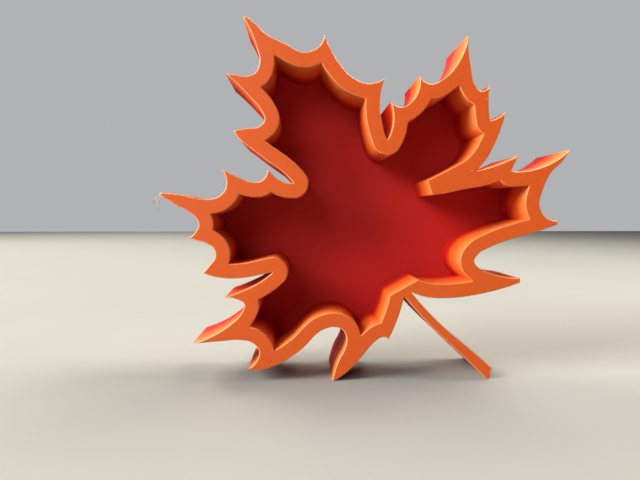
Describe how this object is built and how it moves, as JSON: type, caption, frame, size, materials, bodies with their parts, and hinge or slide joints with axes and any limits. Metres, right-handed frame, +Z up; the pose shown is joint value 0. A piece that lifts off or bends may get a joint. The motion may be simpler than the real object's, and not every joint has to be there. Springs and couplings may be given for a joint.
{
  "type": "maple leaf dish",
  "caption": "Shallow printed tray in the outline of a maple leaf, open at the front, with a bar for its stem; it stands upright on edge.",
  "frame": {"origin": "middle of the leaf's width and depth, on the surface that it stands on", "axes": "+X to the right as seen from the open side, +Y out through the closed back, +Z up"},
  "size_m": [0.15, 0.0264, 0.132],
  "materials": {
    "printed_plastic": "silky printed plastic, deep red at the back fading to orange at the rim"
  },
  "bodies": {
    "root": {"maple_leaf_dish": "printed_plastic"}
  },
  "joints": []
}
